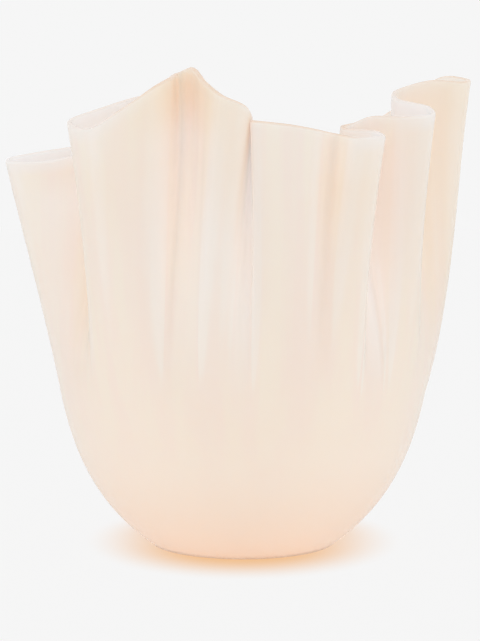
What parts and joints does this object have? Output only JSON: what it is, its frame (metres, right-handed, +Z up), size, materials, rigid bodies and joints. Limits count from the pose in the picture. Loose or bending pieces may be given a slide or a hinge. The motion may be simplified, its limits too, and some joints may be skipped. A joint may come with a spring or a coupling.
{
  "type": "handkerchief vase",
  "caption": "Blown opal glass vase: a round bowl on a flat foot, with an upper wall that hangs in deep upright folds up to a wavy, rounded lip.",
  "frame": {"origin": "centre of the flat underside of the foot, on the surface that the vase stands on", "axes": "+Z up through the bowl; -Y towards the side that the picture shows; +X to the right of that side"},
  "size_m": [0.2627, 0.235, 0.275],
  "materials": {
    "opal_glass": "fire-polished opaline glass, pale peach, nearly opaque, satin gloss"
  },
  "bodies": {
    "root": {"vase": "opal_glass"}
  },
  "joints": []
}
